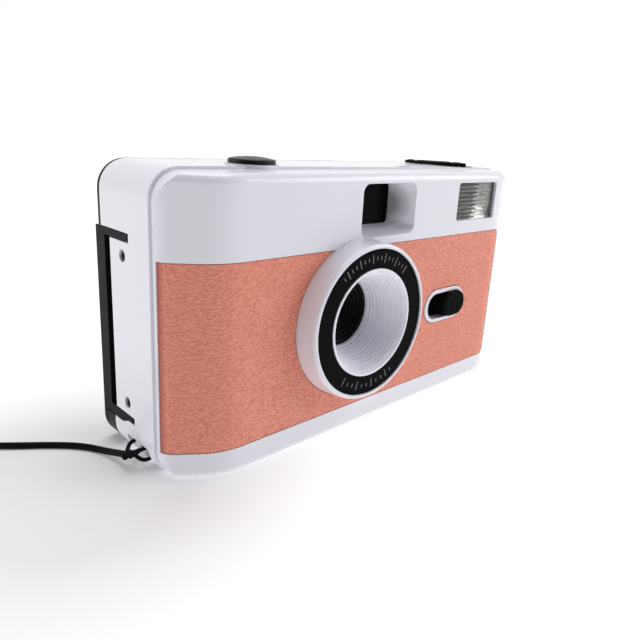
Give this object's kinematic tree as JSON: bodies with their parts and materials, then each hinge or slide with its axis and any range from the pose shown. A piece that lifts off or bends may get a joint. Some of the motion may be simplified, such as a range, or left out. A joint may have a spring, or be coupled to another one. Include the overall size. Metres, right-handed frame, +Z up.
{
  "type": "camera",
  "caption": "compact 35 mm film camera with hinged back, winding and rewinding gear, shutter, flash, viewfinder and wrist lanyard",
  "frame": {"origin": "centre of the base, below the middle of the whole depth from lens barrel to back door", "axes": "+X to the right as seen from the front, +Y from the lens towards the back door, +Z up"},
  "size_m": [0.1651, 0.0574, 0.0648],
  "materials": {
    "white_plastic": "satin gloss, cool white",
    "coral_leatherette": "fine leather grain, coral",
    "black_plastic": "fine matt grain",
    "black_gloss": "smooth semi gloss",
    "ring_black": "matt with grey marks",
    "funnel_white": "matt white, stepped",
    "lens_clear": "polished",
    "window_clear": "clear acrylic",
    "finder_clear": "clear acrylic",
    "red_lamp": "clear orange red",
    "dial_face": "matt with plain marks",
    "spring_steel": "bright wire",
    "steel_sheet": "stamped sheet",
    "black_screw": "black oxide",
    "reflector_chrome": "bright vacuum coat",
    "tube_glass": "clear",
    "board_green": "solder resist",
    "can_black": "shrink sleeve",
    "cell_grey": "plain label",
    "contact_nickel": "nickel plate",
    "black_foam": "foam strip",
    "black_cord": "braided cord"
  },
  "bodies": {
    "case": {"front_cover": "white_plastic", "leatherette": "coral_leatherette", "chassis": "black_plastic", "lens_ring": "ring_black", "lens_funnel": "funnel_white", "lens_cell": "black_plastic", "front_lens": "lens_clear", "shutter_plate": "black_plastic", "shutter_guard": "black_plastic", "shutter_spring": "spring_steel", "button_spring": "spring_steel", "finder_window": "finder_clear", "finder_tube": "black_plastic", "finder_eyepiece": "window_clear", "flash_window": "window_clear", "flash_reflector": "reflector_chrome", "flash_tube": "tube_glass", "flash_capacitor": "can_black", "ready_lamp": "red_lamp", "circuit_board": "board_green", "switch_bezel": "white_plastic", "switch_base": "black_plastic", "battery": "cell_grey", "battery_top_contact": "contact_nickel", "counter_window": "window_clear", "release_spring": "spring_steel", "light_seal": "black_foam", "latch_spring": "spring_steel", "hinge_pins": "spring_steel", "side_screws": "black_screw", "rear_screws": "black_screw", "base_screws": "black_screw", "lanyard_hitch": "black_cord", "lanyard_line": "black_cord", "lanyard_coil": "black_cord", "lanyard_end": "black_cord"},
    "door": {"back_door": "black_plastic", "pressure_plate": "black_plastic", "pressure_spring": "spring_steel"},
    "latch": {"door_latch": "black_plastic"},
    "button": {"shutter_button": "black_gloss"},
    "lever": {"release_lever": "steel_sheet"},
    "blade": {"shutter_blade": "steel_sheet"},
    "advance": {"thumb_wheel": "black_plastic", "takeup_spool": "black_plastic"},
    "sprocket": {"sprocket_shaft": "black_plastic"},
    "counter": {"counter_dial": "dial_face"},
    "rewind": {"rewind_knob": "black_gloss"},
    "crank": {"rewind_crank": "black_gloss"},
    "release": {"rewind_release": "black_plastic"},
    "flash_switch": {"switch_knob": "black_plastic"},
    "cell_door": {"battery_door": "white_plastic", "battery_door_contact": "contact_nickel"}
  },
  "joints": [
    {"name": "door_hinge", "type": "hinge", "parent": "case", "child": "door", "pos_m": [-0.0582, 0.00535, 0.025], "axis": [0, 0, 1], "range_deg": [0, 100]},
    {"name": "latch_slide", "type": "slide", "parent": "case", "child": "latch", "axis": [0, 0, -1], "range_m": [0, 0.0045], "stiffness_N_per_m": 120, "springref_m": -0.002, "deforming": ["latch_spring"]},
    {"name": "button_slide", "type": "slide", "parent": "case", "child": "button", "axis": [0, 0, -1], "range_m": [0, 0.0016], "stiffness_N_per_m": 500, "springref_m": -0.0008, "deforming": ["button_spring"]},
    {"name": "lever_pivot", "type": "hinge", "parent": "case", "child": "lever", "pos_m": [-0.0265, -0.0009, 0.051], "axis": [0, -1, 0], "range_deg": [0, 15]},
    {"name": "blade_swing", "type": "hinge", "parent": "case", "child": "blade", "pos_m": [-0.0029, -0.0023, 0.0348], "axis": [0, 1, 0], "range_deg": [0, 35], "stiffness_Nm_per_rad": 0.0002, "springref_deg": -11.46},
    {"name": "advance_spin", "type": "hinge", "parent": "case", "child": "advance", "pos_m": [-0.0446, 0.00655, 0.0546], "axis": [0, 0, 1], "continuous": true},
    {"name": "sprocket_spin", "type": "hinge", "parent": "case", "child": "sprocket", "pos_m": [0.0155, 0.00955, 0.0288], "axis": [0, 0, 1], "continuous": true},
    {"name": "counter_spin", "type": "hinge", "parent": "case", "child": "counter", "pos_m": [0.0155, 0.00255, 0.0593], "axis": [0, 0, 1], "continuous": true},
    {"name": "rewind_spin", "type": "hinge", "parent": "case", "child": "rewind", "pos_m": [0.0432, 0.00255, 0.0625], "axis": [0, 0, 1], "continuous": true},
    {"name": "crank_fold", "type": "hinge", "parent": "rewind", "child": "crank", "pos_m": [0.04544, 0.00086, 0.06345], "axis": [0.6018, 0.7986, 0], "range_deg": [0, 150]},
    {"name": "release_slide", "type": "slide", "parent": "case", "child": "release", "axis": [0, 0, 1], "range_m": [0, 0.0012], "stiffness_N_per_m": 300, "springref_m": -0.0008, "deforming": ["release_spring"]},
    {"name": "switch_slide", "type": "slide", "parent": "case", "child": "flash_switch", "axis": [-1, 0, 0], "range_m": [0, 0.005]},
    {"name": "battery_door_slide", "type": "slide", "parent": "case", "child": "cell_door", "axis": [1, 0, 0], "range_m": [0, 0.0115]}
  ],
  "couplings": [
    {"joint": "counter_spin", "follows": "sprocket_spin", "ratio": -0.025},
    {"joint": "lever_pivot", "follows": "button_slide", "rad_per_m": 150.7}
  ]
}
